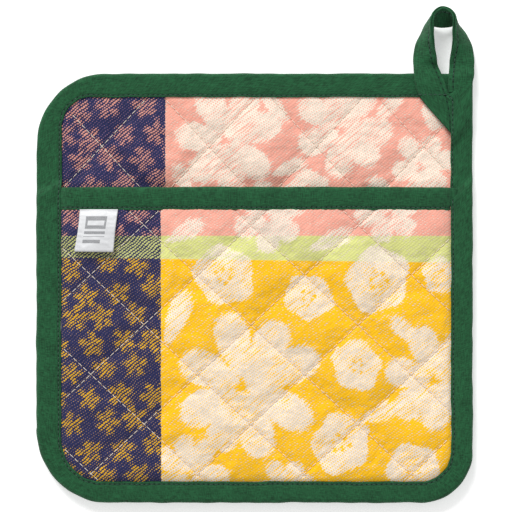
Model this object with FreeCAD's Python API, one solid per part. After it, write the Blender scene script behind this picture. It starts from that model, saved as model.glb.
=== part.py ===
"""Quilted pocket potholder: a padded back panel, a padded hand pocket, binding, loop and label.

It lies flat with the pocket up: +Z is the thickness, +Y points to the edge with the loop, and
+X to the right. The origin is the middle of the underside. All sizes are in millimetres.
"""
import FreeCAD, Part
import math
import os

from FreeCAD import Vector

# Pad outline
PAD_WIDTH = 203.4
PAD_HEIGHT = 200.2
PAD_CORNERS = (34.0, 24.0, 1.5, 33.0)  # bottom left, bottom right, top right, top left
# Green binding tape, folded over the edge: its width on each side and at the window's corners
BIND_LEFT = 11.9
BIND_RIGHT = 10.4
BIND_BOTTOM = 10.2
BIND_TOP = 11.2
WINDOW_CORNERS = (19.5, 14.0, 4.0, 14.0)
TAPE = 0.7
# Back panel: cloth, batting, cloth, pressed thin where the binding holds it
CLOTH = 0.7
BACK_THICK = 4.6
BACK_RIM = 3.2
CROWN_RUN = 6.0
# Pocket panel, sewn in at both sides and the foot, and bowed up at its mouth
POCKET_DEPTH = 147.6  # from the pad's bottom edge to the mouth
MOUTH_TAPE = 10.7
POCKET_RIM = 2.4
POCKET_FOOT_THICK = 4.2
POCKET_MOUTH_THICK = 3.4
MOUTH_BOW = 7.0
EDGE_GAP = 1.0
LAYER_GAP = 0.3
SHOULDER_RUN = 8.0
SHOULDER_RISE = 6.0
# Sewing: a raised line of thread, and how far inside the tape's edge its row runs
THREAD_WIDE = 0.5
THREAD_HIGH = 0.3
STITCH_INSET = 1.6
# Diamond quilting: lines at plus and minus the angle, this far apart along X
POCKET_QUILT = {"angle": 43.0, "step": 49.5, "cross": (23.1, 6.2)}
BACK_QUILT = {"angle": 47.0, "step": 50.0, "cross": (-21.1, 66.0)}
# Folded label, caught under the mouth binding
LABEL_INSET = 8.9  # from the left tape
LABEL_WIDTH = 17.8
LABEL_LENGTH = 18.8
LABEL_LEAF = 0.25
LABEL_GAP = 0.35
# Hanging loop: the tape of the right side carried on past the corner and sewn back down
LOOP_WIDTH = 11.6
LOOP_THICK = 2.0
TAIL_THICK = 1.6
TAIL_SEAM = 10.3  # from the top edge down to the seam that holds the tail
# The tail's left edge, from the pad's top right corner, and how far down the right tape it goes
TAIL_EDGE = [(-26.7, -0.3), (-25.2, -8.5), (-22.2, -13.0)]
TAIL_DROP = 28.5
# Middle of the loop's tape, from the pad's top right corner, with its height, and the heading
# and rise in degrees of the line across the tape, from its folded edge to its open edge
LOOP_STATIONS = [
    (-21.9, 2.8, 4.8, 0, 0),
    (-22.5, 6.8, 5.4, 0, 27),
    (-22.6, 13.2, 5.6, 0, 49),
    (-21.2, 19.9, 6.1, 5, 73),
    (-20.1, 24.2, 6.2, 50, 80),
    (-18.5, 25.4, 6.2, 78, 60),
    (-14.5, 25.8, 6.1, 90, 41),
    (-10.4, 25.4, 6.1, 102, 55),
    (-8.6, 24.5, 6.2, 130, 79),
    (-7.7, 22.0, 6.1, 175, 73),
    (-5.9, 17.3, 5.6, 180, 52),
    (-4.9, 12.6, 5.2, 180, 35),
    (-5.0, 6.8, 4.9, 180, 8),
    (-5.2, 2.8, 4.8, 180, 0),
]

LEFT = -PAD_WIDTH / 2
RIGHT = PAD_WIDTH / 2
BOTTOM = -PAD_HEIGHT / 2
TOP = PAD_HEIGHT / 2
PAD = (LEFT, RIGHT, BOTTOM, TOP)
WINDOW = (LEFT + BIND_LEFT, RIGHT - BIND_RIGHT, BOTTOM + BIND_BOTTOM, TOP - BIND_TOP)
MOUTH_Y = BOTTOM + POCKET_DEPTH
LABEL_LEFT = WINDOW[0] + LABEL_INSET
RIM_LOW = TAPE
RIM_TOP = TAPE + BACK_RIM
SIDE_HIGH = RIM_TOP + POCKET_RIM + TAPE  # binding over both panels
TOP_HIGH = RIM_TOP + TAPE  # binding over the back panel alone
FAR = 2 * max(PAD_WIDTH, PAD_HEIGHT)
SKY = 60.0


def inset(sides, radii, distance):
    """The same rounded rectangle, every side moved in by a distance."""
    left, right, bottom, top = sides
    moved = (left + distance, right - distance, bottom + distance, top - distance)
    return moved, tuple(max(r - distance, 0.5) for r in radii)


def rounded_wire(sides, radii, z):
    """Rounded rectangle at height z, counter-clockwise from its bottom left corner."""
    left, right, bottom, top = sides
    low_left, low_right, high_right, high_left = radii
    corners = [
        (left + low_left, bottom + low_left, low_left, 180),
        (right - low_right, bottom + low_right, low_right, 270),
        (right - high_right, top - high_right, high_right, 0),
        (left + high_left, top - high_left, high_left, 90),
    ]
    arcs = []
    for x, y, radius, start in corners:
        turns = [math.radians(start + step) for step in (0, 45, 90)]
        points = [Vector(x + radius * math.cos(a), y + radius * math.sin(a), z) for a in turns]
        arcs.append(Part.Arc(*points))
    edges = []
    for arc, following in zip(arcs, arcs[1:] + arcs[:1]):
        edges.append(arc.toShape())
        edges.append(Part.LineSegment(arc.EndPoint, following.StartPoint).toShape())
    return Part.Wire(edges)


def prism(sides, radii, low, high):
    """Upright block on a rounded rectangle."""
    return Part.Face(rounded_wire(sides, radii, low)).extrude(Vector(0, 0, high - low))


def frustum(foot, foot_z, head, head_z):
    """Block whose outline runs straight from one rounded rectangle to another."""
    wires = [rounded_wire(*foot, foot_z), rounded_wire(*head, head_z)]
    return Part.makeLoft(wires, True, True)


def block(x0, x1, y0, y1, z0, z1):
    """Box between two corners."""
    return Part.makeBox(x1 - x0, y1 - y0, z1 - z0, Vector(x0, y0, z0))


def joined(shapes):
    """One solid from pieces that touch."""
    return shapes[0].multiFuse(shapes[1:]).removeSplitter()


def save(name, shape):
    """Write one node, as a single solid where it has one, or as a group of solids."""
    solids = [s for s in shape.Solids if s.Volume > 0.01]
    if not solids:
        raise ValueError(name + " has no solid")
    whole = solids[0] if len(solids) == 1 else Part.makeCompound(solids)
    whole.exportStep("parts/" + name + ".step")
    box = whole.BoundBox
    print(f"{name:26s} {len(solids):3d} solids {whole.Volume:10.1f} mm3 valid {whole.isValid()}",
          f"z {box.ZMin:.2f} to {box.ZMax:.2f}")


# Back panel ------------------------------------------------------------------------------


def back_panel(under, over):
    """The back panel with so much taken off its underside and its upper side."""
    edge = inset(PAD, PAD_CORNERS, TAPE)
    window = (WINDOW, WINDOW_CORNERS)
    crown = inset(WINDOW, WINDOW_CORNERS, CROWN_RUN)
    return joined([
        frustum(crown, under, window, RIM_LOW + under),
        prism(*edge, RIM_LOW + under, RIM_TOP - over),
        frustum(window, RIM_TOP - over, crown, BACK_THICK - over),
    ])


def quilt_walls(quilt, bottom, top):
    """Thin upright walls along both directions of diamond quilting, between two Y values."""
    cross_x, cross_y = quilt["cross"]
    count = math.ceil(FAR / quilt["step"])
    walls = []
    for turn in (quilt["angle"], -quilt["angle"]):
        for number in range(-count, count + 1):
            wall = block(-FAR, FAR, -THREAD_WIDE / 2, THREAD_WIDE / 2, 0, SKY)
            wall.rotate(Vector(0, 0, 0), Vector(0, 0, 1), turn)
            wall.translate(Vector(cross_x + number * quilt["step"], cross_y, 0))
            walls.append(wall)
    lattice = walls[0].multiFuse(walls[1:])
    return lattice.common(block(LEFT, RIGHT, bottom, top, 0, SKY))


def make_back():
    """Outer cloth, batting and inner cloth, and the quilting thread on the inner cloth."""
    whole = back_panel(0, 0)
    save("back_outer_cloth", whole.cut(back_panel(CLOTH, 0)))
    save("back_inner_cloth", whole.cut(back_panel(0, CLOTH)))
    save("back_batting", back_panel(CLOTH, CLOTH))
    field = prism(*inset(WINDOW, WINDOW_CORNERS, EDGE_GAP), 0, SKY).cut(tail_plate(0, SKY))
    skin = back_panel(0, -THREAD_HIGH).cut(whole).common(field)
    save("back_quilting_thread", skin.common(quilt_walls(BACK_QUILT, MOUTH_Y, TOP)))


# Pocket ----------------------------------------------------------------------------------


def bowed_edge(start, end, rise):
    """Edge between two points, straight or an arc that rises by so much in the middle."""
    if rise <= 0:
        return Part.LineSegment(start, end).toShape()
    middle = (start + end) * 0.5 + Vector(0, 0, rise)
    return Part.Arc(start, middle, end).toShape()


def pocket_heights(y):
    """Height of the pocket's underside at its sides, its thickness, and its bow, at one Y."""
    foot = WINDOW[2]
    share = (y - foot) / (MOUTH_Y - foot)
    low = BACK_THICK + LAYER_GAP + share * TAPE
    thick = POCKET_FOOT_THICK + share * (POCKET_MOUTH_THICK - POCKET_FOOT_THICK)
    return low, thick, share * MOUTH_BOW


def bowed_section(y, z_low, z_high, bow):
    """Section across the pocket at one Y: two equal bows and two upright ends."""
    left, right = WINDOW[0], WINDOW[1]
    low = [Vector(left, y, z_low), Vector(right, y, z_low)]
    high = [Vector(right, y, z_high), Vector(left, y, z_high)]
    return Part.Wire([
        bowed_edge(*low, bow),
        Part.LineSegment(low[1], high[0]).toShape(),
        bowed_edge(*high, bow),
        Part.LineSegment(high[1], low[0]).toShape(),
    ])


def pocket_slab(y0, y1, under, over):
    """Bowed slab between two Y values, with so much taken off its underside and upper side."""
    sections = []
    for y in (y0, y1):
        low, thick, bow = pocket_heights(y)
        sections.append(bowed_section(y, low + under, low + thick - over, bow))
    return Part.makeLoft(sections, True, True)


def pocket_room(over):
    """Space that the pocket may fill: inside the binding, with sloping shoulders."""
    outline = inset(WINDOW, WINDOW_CORNERS, EDGE_GAP)
    shoulder = inset(WINDOW, WINDOW_CORNERS, EDGE_GAP + SHOULDER_RUN)
    knee = SIDE_HIGH + 0.1 - over
    return joined([
        prism(*outline, 0, knee),
        frustum(outline, knee, shoulder, knee + SHOULDER_RISE),
        prism(*shoulder, knee + SHOULDER_RISE, SKY),
    ])


def pocket_panel(under, over):
    """The pocket's padded panel with so much taken off its underside and upper side."""
    slab = pocket_slab(WINDOW[2], MOUTH_Y - TAPE, under, over)
    return slab.common(pocket_room(over))


def make_pocket():
    """Face cloth, batting, lining and quilting, and the tape folded over the mouth."""
    whole = pocket_panel(0, 0)
    save("pocket_face_cloth", whole.cut(pocket_panel(0, CLOTH)))
    save("pocket_lining_cloth", whole.cut(pocket_panel(CLOTH, 0)))
    save("pocket_batting", pocket_panel(CLOTH, CLOTH))

    skin = pocket_panel(0, -THREAD_HIGH).cut(whole)
    tape_low = MOUTH_Y - MOUTH_TAPE
    label_top = tape_low - LAYER_GAP
    lattice = quilt_walls(POCKET_QUILT, BOTTOM, label_top)
    lattice = lattice.cut(block(*label_sides(EDGE_GAP), label_top - LABEL_LENGTH, TOP, 0, SKY))
    save("pocket_quilting_thread", skin.common(lattice))

    tape = pocket_slab(tape_low, MOUTH_Y, -TAPE, -TAPE).common(pocket_room(-TAPE))
    inner = pocket_slab(tape_low, MOUTH_Y - TAPE, 0, 0)
    save("pocket_binding", tape.cut(inner))

    row = tape_low + STITCH_INSET
    over = pocket_slab(row, row + THREAD_WIDE, 0, -TAPE - THREAD_HIGH)
    over = over.cut(pocket_slab(row, row + THREAD_WIDE, 0, -TAPE))
    save("pocket_binding_stitching", over.common(pocket_room(-TAPE - THREAD_HIGH)))


def label_sides(gap):
    """Left and right of the label, with a gap round it."""
    return LABEL_LEFT - gap, LABEL_LEFT + LABEL_WIDTH + gap


def make_label():
    """Two leaves of a folded label that lies on the pocket below its mouth binding."""
    top = MOUTH_Y - MOUTH_TAPE - LABEL_GAP
    bottom = top - LABEL_LENGTH
    side = block(*label_sides(0), bottom, top, 0, SKY)
    levels = [LABEL_GAP + number * LABEL_LEAF for number in range(3)]
    for name, low, high in zip(("label_back_leaf", "label_front_leaf"), levels, levels[1:]):
        leaf = pocket_slab(bottom, top, 0, -high).cut(pocket_slab(bottom, top, 0, -low))
        save(name, leaf.common(side))


# Binding ---------------------------------------------------------------------------------


def edge_profile(low, taken):
    """Slab over the whole pad whose top steps down from the pocket's sides to the bare back."""
    ramp = 2 * TAPE
    side, top = SIDE_HIGH - taken, TOP_HIGH - taken
    points = [
        (-FAR, low), (FAR, low), (FAR, top), (MOUTH_Y + ramp, top),
        (MOUTH_Y - ramp, side), (-FAR, side), (-FAR, low),
    ]
    wire = Part.makePolygon([Vector(-FAR, y, z) for y, z in points])
    return Part.Face(wire).extrude(Vector(2 * FAR, 0, 0))


def make_edge():
    """The tape folded over the pad's edge, its row of stitches and what it holds."""
    outer = prism(PAD, PAD_CORNERS, 0, SKY)
    held = prism(*inset(PAD, PAD_CORNERS, TAPE), 0, SKY)
    window = prism(WINDOW, WINDOW_CORNERS, -1, SKY)
    solid = outer.common(edge_profile(0, 0))
    solid = solid.cut(held.common(edge_profile(TAPE, TAPE)))
    save("edge_binding", solid.cut(window))

    inner = inset(WINDOW, WINDOW_CORNERS, -STITCH_INSET)
    row = prism(*inset(*inner, -THREAD_WIDE), 0, SKY).cut(prism(*inner, -1, SKY))
    row = row.cut(tail_plate(-1, SKY))
    skin = edge_profile(0, -THREAD_HIGH).cut(edge_profile(-1, 0))
    save("edge_binding_stitching", skin.common(row))

    strip = held.cut(window).common(edge_profile(RIM_TOP, TAPE))
    strip = strip.common(block(-FAR, FAR, -FAR, MOUTH_Y, 0, SKY))
    save("pocket_seam_allowance", strip)


# Loop ------------------------------------------------------------------------------------


def tail_plate(low, high):
    """Outline of the loop's sewn end: it crosses the corner slantwise, up to the right tape."""
    right = WINDOW[1] - LAYER_GAP
    points = [(RIGHT + dx, TOP + dy) for dx, dy in TAIL_EDGE]
    points += [(right, TOP - TAIL_DROP), (right, TOP - LAYER_GAP)]
    wire = Part.makePolygon([Vector(x, y, low) for x, y in points + points[:1]])
    return Part.Face(wire).extrude(Vector(0, 0, high - low))


def loop_axes():
    """Middle, direction across the tape and direction out of it, at each station."""
    middles = [Vector(RIGHT + dx, TOP + dy, z) for dx, dy, z, _, _ in LOOP_STATIONS]
    axes = []
    for number, (_, _, _, heading, rise) in enumerate(LOOP_STATIONS):
        before = middles[max(number - 1, 0)]
        after = middles[min(number + 1, len(middles) - 1)]
        turn, lift = math.radians(heading), math.radians(rise)
        flat = Vector(math.cos(turn), math.sin(turn), 0) * math.cos(lift)
        across = flat + Vector(0, 0, math.sin(lift))
        out = across.cross(after - before).normalize()
        axes.append((middles[number], across, out))
    return axes


def along_loop(near, far, inner, outer):
    """Strip along the loop: its section spans near to far across, and inner to outer in depth."""
    wires = []
    for middle, across, out in loop_axes():
        corners = [(near, inner), (far, inner), (far, outer), (near, outer), (near, inner)]
        wires.append(Part.makePolygon([middle + across * a + out * d for a, d in corners]))
    return Part.makeLoft(wires, True, True)


def make_loop():
    """The tape's free loop and its stitching, and the end sewn down across the corner."""
    half, depth = LOOP_WIDTH / 2, LOOP_THICK / 2
    save("hanging_loop", along_loop(-half, half, -depth, depth))
    row = half - STITCH_INSET
    save("loop_stitching", along_loop(row - THREAD_WIDE, row, depth, depth + THREAD_HIGH))
    on_top = TOP_HIGH + TAIL_THICK
    save("loop_tail", tail_plate(TOP_HIGH, on_top))
    seam = block(-FAR, FAR, TOP - TAIL_SEAM - THREAD_WIDE, TOP - TAIL_SEAM, 0, SKY)
    save("loop_tail_stitching", tail_plate(on_top, on_top + THREAD_HIGH).common(seam))


os.makedirs("parts", exist_ok=True)
make_back()
make_pocket()
make_label()
make_edge()
make_loop()
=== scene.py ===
import math

import bmesh
import bpy
import numpy as np
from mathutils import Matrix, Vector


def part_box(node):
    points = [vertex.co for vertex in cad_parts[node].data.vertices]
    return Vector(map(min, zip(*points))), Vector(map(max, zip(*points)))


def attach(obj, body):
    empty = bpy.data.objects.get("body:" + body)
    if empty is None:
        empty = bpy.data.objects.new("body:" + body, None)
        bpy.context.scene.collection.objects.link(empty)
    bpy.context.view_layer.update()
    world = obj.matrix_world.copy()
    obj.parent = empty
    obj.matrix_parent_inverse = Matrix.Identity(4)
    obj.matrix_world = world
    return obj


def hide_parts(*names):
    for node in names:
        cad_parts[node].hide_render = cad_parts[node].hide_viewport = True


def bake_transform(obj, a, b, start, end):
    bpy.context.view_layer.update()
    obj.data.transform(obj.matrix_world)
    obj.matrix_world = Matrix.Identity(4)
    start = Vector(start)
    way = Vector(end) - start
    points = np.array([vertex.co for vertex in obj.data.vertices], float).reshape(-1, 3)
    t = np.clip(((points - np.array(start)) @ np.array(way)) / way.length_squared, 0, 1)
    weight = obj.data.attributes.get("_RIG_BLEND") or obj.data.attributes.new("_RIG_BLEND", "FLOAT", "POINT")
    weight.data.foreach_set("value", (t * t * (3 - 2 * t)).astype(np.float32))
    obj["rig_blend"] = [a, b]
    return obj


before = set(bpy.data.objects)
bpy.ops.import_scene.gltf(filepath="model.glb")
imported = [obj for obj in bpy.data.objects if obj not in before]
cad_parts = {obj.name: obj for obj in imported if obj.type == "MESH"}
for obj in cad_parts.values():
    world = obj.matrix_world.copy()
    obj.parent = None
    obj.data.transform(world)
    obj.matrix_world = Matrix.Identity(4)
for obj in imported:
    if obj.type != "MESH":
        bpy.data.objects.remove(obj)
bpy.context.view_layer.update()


# ---- The quilted back ----
# Two layers of jacquard cloth with cotton batting between them, sewn through in diamonds about 50 mm
# wide. Each diamond swells between its seams, and the panel's edges are pressed flat under the tape.

ring_low, ring_high = (np.array(corner) * 1000 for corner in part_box("edge_binding"))
panel_low, panel_high = (np.array(corner) * 1000 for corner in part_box("pocket_face_cloth"))
EDGE = (ring_low[0], ring_low[1], ring_high[0], ring_high[1])
EDGE_CORNERS = (34, 24, 1.5, 33)
WINDOW = (panel_low[0] - 1, panel_low[1] - 1, panel_high[0] + 1, ring_high[1] - 11.2)
WINDOW_CORNERS = (19.5, 14, 4, 14)
MOUTH = panel_high[1]
FOOT = WINDOW[1]
BACK_MIDDLE = 2.3
CLOTH = 0.45
CORNER_WAYS = ((-1, -1), (1, -1), (1, 1), (-1, 1))
BARE = -9.0


def smooth(t):
    """Eases from 0 to 1: three t squared less two t cubed, t held to 0 to 1."""
    t = np.clip(t, 0, 1)
    return t * t * (3 - 2 * t)


def rounded_patch(box, corners, step):
    """A grid over a rectangle, in mm. In each corner's square the grid is drawn onto a quarter disc:
    a times the root of 1 less half of b squared, so the square's elbow becomes an arc."""
    x = np.linspace(box[0], box[2], round((box[2] - box[0]) / step) + 1)
    y = np.linspace(box[1], box[3], round((box[3] - box[1]) / step) + 1)
    x, y = np.meshgrid(x, y)
    for (sx, sy), radius in zip(CORNER_WAYS, corners):
        middle_x = (box[0] if sx < 0 else box[2]) - sx * radius
        middle_y = (box[1] if sy < 0 else box[3]) - sy * radius
        a = np.clip((x - middle_x) * sx / radius, 0, 1)
        b = np.clip((y - middle_y) * sy / radius, 0, 1)
        x = x + sx * radius * a * (np.sqrt(1 - b * b / 2) - 1)
        y = y + sy * radius * b * (np.sqrt(1 - a * a / 2) - 1)
    return x, y


def depth_inside(x, y, box, corners):
    """How far a point lies inside a rounded rectangle: the least distance to its sides, or in a corner
    the radius less the distance to the arc's centre. It is negative outside."""
    depth = np.minimum(np.minimum(x - box[0], box[2] - x), np.minimum(y - box[1], box[3] - y))
    for (sx, sy), radius in zip(CORNER_WAYS, corners):
        a = (x - (box[0] if sx < 0 else box[2])) * sx + radius
        b = (y - (box[1] if sy < 0 else box[3])) * sy + radius
        depth = np.where((a > 0) & (b > 0), radius - np.hypot(a, b), depth)
    return depth


def grown(by, top=None):
    """The window inside the tape with by mm more on every side, or up to top."""
    return (WINDOW[0] - by, WINDOW[1] - by, WINDOW[2] + by, WINDOW[3] + by if top is None else top)


def quarter(depth, reach):
    """Rises as a quarter circle does, from 0 at depth 0 to 1 at reach."""
    return np.sqrt(1 - (1 - np.clip(depth / reach, 0, 1)) ** 2)


def put(name, data):
    """Puts a mesh, a lamp or a camera into the scene as an object."""
    piece = bpy.data.objects.new(name, data)
    bpy.context.scene.collection.objects.link(piece)
    return piece


class Quilting:
    """The seams of one panel: two families of parallel lines at plus and minus an angle, through one
    crossing. A point's place is counted along the two families, and whole multiples of cell are seams."""

    def __init__(self, cross, step, degrees, box, corners, seed):
        angle = math.radians(degrees)
        self.cross, self.box, self.corners = cross, box, corners
        self.lean = (math.cos(angle), math.sin(angle))
        self.cell = step / 2 / self.lean[0]
        self.parts = round(self.cell / 1.35)
        self.seed = seed
        self.swell()

    def place(self, x, y):
        """Counts along the rising and the falling family from the crossing, in seam spacings."""
        a, b = (x - self.cross[0]) / self.lean[0], (y - self.cross[1]) / self.lean[1]
        return (a + b) / 2 / self.cell, (b - a) / 2 / self.cell

    def point(self, along, beside):
        """The point that lies that many seam spacings along each family."""
        x = self.cross[0] + (along - beside) * self.lean[0] * self.cell
        return x, self.cross[1] + (along + beside) * self.lean[1] * self.cell

    def swell(self):
        """How high the cloth stands between its seams, on a grid that follows them: a cloth simulation
        of the panel, 100 mm to a unit, held along the seams and blown up with a little spare cloth."""
        box, parts = self.box, self.parts
        corners = np.array([(box[i], box[j]) for i in (0, 2) for j in (1, 3)])
        a, b = self.place(corners[:, 0], corners[:, 1])
        self.first = (math.floor(a.min()) - 1, math.floor(b.min()) - 1)
        last = (math.ceil(a.max()) + 1, math.ceil(b.max()) + 1)
        i, j = np.meshgrid(np.arange((last[0] - self.first[0]) * parts + 1),
                           np.arange((last[1] - self.first[1]) * parts + 1), indexing="ij")
        x, y = self.point(i / parts + self.first[0], j / parts + self.first[1])
        depth = depth_inside(x, y, box, self.corners)
        held = (i % parts == 0) | (j % parts == 0) | (depth < 0.4)
        bulge = np.abs(np.sin(np.pi * i / parts) * np.sin(np.pi * j / parts)) ** 0.5
        self.height = np.where(depth < 0.4, 0, bulge * smooth(depth / 12))
        inside = depth > -2
        number = np.cumsum(inside.ravel()).reshape(inside.shape) - 1
        whole = inside[:-1, :-1] & inside[1:, :-1] & inside[1:, 1:] & inside[:-1, 1:]
        faces = np.stack([number[:-1, :-1], number[1:, :-1], number[1:, 1:], number[:-1, 1:]], -1)[whole]
        rough = np.random.default_rng(self.seed).normal(0, 0.0008, x.shape)
        z = np.where(held, 0, 0.01 + rough)
        mesh = bpy.data.meshes.new("swelling")
        mesh.from_pydata(np.stack([x / 100, y / 100, z], -1)[inside].tolist(), [], faces.tolist())
        panel = put("swelling", mesh)
        seams = panel.vertex_groups.new(name="seams")
        seams.add(np.flatnonzero(held[inside]).tolist(), 1.0, "REPLACE")
        modifier = panel.modifiers.new("Cloth", "CLOTH")
        settings = modifier.settings
        settings.quality, settings.mass, settings.vertex_group_mass = 5, 0.3, "seams"
        settings.tension_stiffness = settings.compression_stiffness = 15
        settings.shear_stiffness, settings.bending_stiffness = 5, 0.12
        settings.use_pressure, settings.uniform_pressure_force = True, 0.9
        settings.shrink_min = -0.06
        settings.effector_weights.gravity = 0
        modifier.collision_settings.use_collision = False
        modifier.point_cache.frame_start, modifier.point_cache.frame_end = 1, 15
        for step in range(1, 16):
            bpy.context.scene.frame_set(step)
        moved = panel.evaluated_get(bpy.context.evaluated_depsgraph_get()).data
        values = np.zeros(len(moved.vertices) * 3, np.float32)
        moved.vertices.foreach_get("co", values)
        self.height = np.zeros(x.shape)
        self.height[inside] = values.reshape(-1, 3)[:, 2] / 0.045
        self.height = np.clip(self.height, -0.1, 1.3)
        bpy.context.scene.frame_set(1)
        bpy.data.objects.remove(panel)
        bpy.data.meshes.remove(mesh)

    def at(self, x, y):
        """The swelling at any point, from 0 on a seam to about 1: a cubic through the 4 by 4 grid values
        round it, each weighted by its distance."""
        a, b = self.place(x, y)
        a, b = (a - self.first[0]) * self.parts, (b - self.first[1]) * self.parts
        rows, columns = self.height.shape
        i = np.clip(np.floor(a).astype(int), 1, rows - 3)
        j = np.clip(np.floor(b).astype(int), 1, columns - 3)
        u, v = np.clip(a - i, 0, 1), np.clip(b - j, 0, 1)
        total = 0
        for p in range(-1, 3):
            for q in range(-1, 3):
                total = total + self.height[i + p, j + q] * cubic(u - p) * cubic(v - q)
        return total


def cubic(t):
    """The weight of a grid value t steps away, in cubic interpolation."""
    t = np.abs(t)
    near = (1.5 * t - 2.5) * t * t + 1
    far = ((-0.5 * t + 2.5) * t - 4) * t + 2
    return np.where(t < 1, near, np.where(t < 2, far, 0))


back_quilting = Quilting((-21.1, 66), 50, 47, WINDOW, WINDOW_CORNERS, seed=4)


def back_height(x, y, side):
    """The pad's upper cloth for side 1, lower cloth for side -1: 1.1 mm from the middle on a seam and
    2.2 mm more where it swells, rolled down to the tape at the edges, and no lower than the table."""
    roll = quarter(depth_inside(x, y, WINDOW, WINDOW_CORNERS), 4)
    z = BACK_MIDDLE + side * (1.5 + (2.2 * back_quilting.at(x, y) - 0.4) * roll)
    if side < 0:
        return 0.02 + np.logaddexp(0, (z - 0.02) * 9) / 9
    covered = smooth((MOUTH - y) / 8)
    return z - covered * 0.75 * np.clip(z - 4.0, 0, 1)


def petal(x, y, middle, turn, length, girth):
    """How far a point lies inside an egg-shaped petal, in mm: 1 less the point's share of the way out
    to an ellipse's edge, times its girth. It is negative outside."""
    c, s = math.cos(turn), math.sin(turn)
    along = (x - middle[0]) * c + (y - middle[1]) * s
    across = (y - middle[1]) * c - (x - middle[0]) * s
    return (1 - np.hypot(along / length, across / girth / (1 + 0.35 * along / length))) * girth


def daisy(x, y, middle, reach, count, turn, girth=1.42):
    """A flower of count petals round its middle, each from a tenth to the whole of its reach."""
    best = np.full(x.shape, BARE)
    for k in range(count):
        angle = turn + math.tau * k / count + 0.13 * math.sin(5 * k + turn)
        out = reach * (0.54 + 0.04 * math.sin(3 * k + 1))
        tip = (middle[0] + out * math.cos(angle), middle[1] + out * math.sin(angle))
        size = reach * (0.46 + 0.05 * math.sin(7 * k + 2))
        best = np.maximum(best, petal(x, y, tip, angle, size, girth * reach * 1.25 / count))
    return best


def blossom(x, y, middle, radius, turn):
    """A round blossom: a disc whose edge waves five times round, less a ring of dots at its heart."""
    angle = np.arctan2(y - middle[1], x - middle[0]) + turn
    out = np.hypot(x - middle[0], y - middle[1])
    best = radius * (1 + 0.07 * np.cos(5 * angle) + 0.05 * np.cos(2 * angle)) - out
    for k in range(6):
        way = turn + math.tau * k / 6
        far = radius * (0.22 if k % 2 else 0.3)
        dot = np.hypot(x - middle[0] - far * math.cos(way), y - middle[1] - far * math.sin(way))
        best = np.minimum(best, dot - 0.085 * radius)
    return best


def sprigs(x, y, band):
    """Small flowers scattered over the navy band: rows 12.2 mm apart, alternate rows set over by half
    a step, each flower moved and turned by its own amount."""
    best = np.full(x.shape, BARE)
    chance = np.random.default_rng(11)
    for row in range(-11, 12):
        for column in range(-1, 6):
            shift = chance.uniform(-1, 1, 4)
            middle = (band - 3.5 - 15.0 * column - 7.5 * (row % 2) + 1.6 * shift[0],
                      12.2 * row + 1.6 * shift[1] - 1.3 * column)
            turn, reach = 3.1 * shift[2], 5.9 + 0.6 * shift[3]
            best = np.maximum(best, daisy(x, y, middle, reach, 5, turn, 1.15))
            best = np.maximum(best, 1.7 - np.hypot(x - middle[0], y - middle[1]))
    return best


def figured(x, y, band, blossoms, daisies, leaves):
    """The woven figure as one distance, in mm, positive inside: the sprigs left of the band's edge,
    and right of it the deepest of the blossoms, daisies and leaves."""
    field = np.full(x.shape, BARE)
    for draw, places in ((blossom, blossoms), (daisy, daisies), (petal, leaves)):
        for place in places:
            field = np.maximum(field, draw(x, y, place[:2], *place[2:]))
    return np.clip(np.where(x < band, sprigs(x, y, band), field), -4, 4)


def quads(x):
    """The point numbers of a grid's four-sided faces, facing up."""
    index = np.arange(x.size).reshape(x.shape)
    faces = np.stack([index[:-1, :-1], index[:-1, 1:], index[1:, 1:], index[1:, :-1]], -1)
    return faces.reshape(-1, 4)


def smooth_mesh(name, points, faces):
    """A smoothly shaded mesh of points in mm."""
    mesh = bpy.data.meshes.new(name)
    mesh.from_pydata((points.reshape(-1, 3) / 1000).tolist(), [], faces)
    mesh.shade_smooth()
    return mesh


def cloth_piece(name, x, y, z, side, figure=None):
    """A cloth over a grid of points in mm. Its UV map is the flat cloth, 250 mm to a unit, and its
    attribute figure is the woven figure's distance. Side 1 faces up and side -1 faces down."""
    faces = quads(x)[:, ::side]
    mesh = smooth_mesh(name, np.stack([x, y, z], -1), faces.tolist())
    flat = np.stack([x.ravel() / 250 + 0.5, y.ravel() / 250 + 0.5], -1)
    mesh.uv_layers.new(name="flat_cloth").data.foreach_set("uv", flat[faces.ravel()].ravel())
    if figure is not None:
        values = mesh.attributes.new("figure", "FLOAT", "POINT")
        values.data.foreach_set("value", figure.ravel().astype(np.float32))
    return put(name, mesh)


def thicken(piece, thick):
    """Gives a cloth its thickness, on its inner side."""
    wall = piece.modifiers.new("thickness", "SOLIDIFY")
    wall.thickness, wall.offset = thick / 1000, -1


def paint(red, green, blue):
    """A colour named by its three screen values from 0 to 255, as the linear light a shader takes."""
    return tuple((v / 255 / 12.92) if v <= 10 else ((v / 255 + 0.055) / 1.055) ** 2.4
                 for v in (red, green, blue)) + (1,)


class Reading:
    """A value or colour that changes over the surface: a shader node's output and the tree it is in.
    Sums with it place Math nodes."""

    def __init__(self, tree, socket):
        self.tree, self.socket = tree, socket

    def math(self, operation, *others):
        return add(self.tree, "Math", self, *others, operation=operation)

    def __add__(self, other):
        return self.math("ADD", other)

    def __sub__(self, other):
        return self.math("SUBTRACT", other)

    def __mul__(self, other):
        return self.math("MULTIPLY", other)

    def __truediv__(self, other):
        return self.math("DIVIDE", other)

    def wave(self, kind, long=1.0):
        """A sine or cosine wave of that length."""
        return (self * (math.tau / long)).math(kind)

    def step(self, low, high, to_low=0.0, to_high=1.0):
        """A smooth step: to_low below low, to_high above high."""
        return add(self.tree, "MapRange", self, low, high, to_low, to_high,
                   interpolation_type="SMOOTHSTEP")

    def about(self, size):
        """A share of 0 to 1 as an amount to either side of 0, size mm in all."""
        return (self - 0.5) * size


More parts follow.
